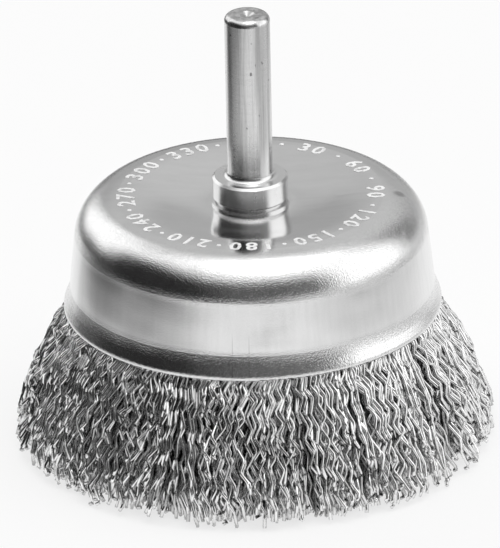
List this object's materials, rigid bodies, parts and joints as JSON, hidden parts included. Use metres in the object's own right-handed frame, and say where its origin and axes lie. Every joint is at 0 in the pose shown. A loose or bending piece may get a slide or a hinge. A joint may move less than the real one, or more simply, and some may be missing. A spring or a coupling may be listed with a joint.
{
  "type": "wire cup brush",
  "caption": "Cup brush for a drill: crimped steel wires flare out of a round drawn steel cup that is riveted to a plain round shank with a collar.",
  "frame": {"origin": "on the brush's axis, in the plane of the wire tips", "axes": "+Z along the axis, up the shank; +X through the middle of wire_bundle_01"},
  "size_m": [0.0643, 0.0642, 0.0599],
  "materials": {
    "cup_plate": "bright zinc plate, satin",
    "shank_plate": "bright zinc plate, turned",
    "inner_plate": "zinc plate, dull",
    "wire": "bright drawn steel wire"
  },
  "bodies": {
    "root": {"anchor_ring": "inner_plate", "cup_shell": "cup_plate", "inner_cup": "inner_plate", "rivet_washer": "inner_plate", "shank": "shank_plate", "wire_bundle_01": "wire", "wire_bundle_02": "wire", "wire_bundle_03": "wire", "wire_bundle_04": "wire", "wire_bundle_05": "wire", "wire_bundle_06": "wire", "wire_bundle_07": "wire", "wire_bundle_08": "wire", "wire_bundle_09": "wire", "wire_bundle_10": "wire", "wire_bundle_11": "wire", "wire_bundle_12": "wire", "wire_bundle_13": "wire", "wire_bundle_14": "wire", "wire_bundle_15": "wire", "wire_bundle_16": "wire", "wire_bundle_17": "wire", "wire_bundle_18": "wire", "wire_bundle_19": "wire", "wire_bundle_20": "wire", "wire_bundle_21": "wire", "wire_bundle_22": "wire", "wire_bundle_23": "wire", "wire_bundle_24": "wire", "wire_bundle_25": "wire", "wire_bundle_26": "wire", "wire_bundle_27": "wire", "wire_bundle_28": "wire", "wire_bundle_29": "wire", "wire_bundle_30": "wire", "wire_bundle_31": "wire", "wire_bundle_32": "wire", "wire_bundle_33": "wire", "wire_bundle_34": "wire", "wire_bundle_35": "wire", "wire_bundle_36": "wire"}
  },
  "joints": []
}
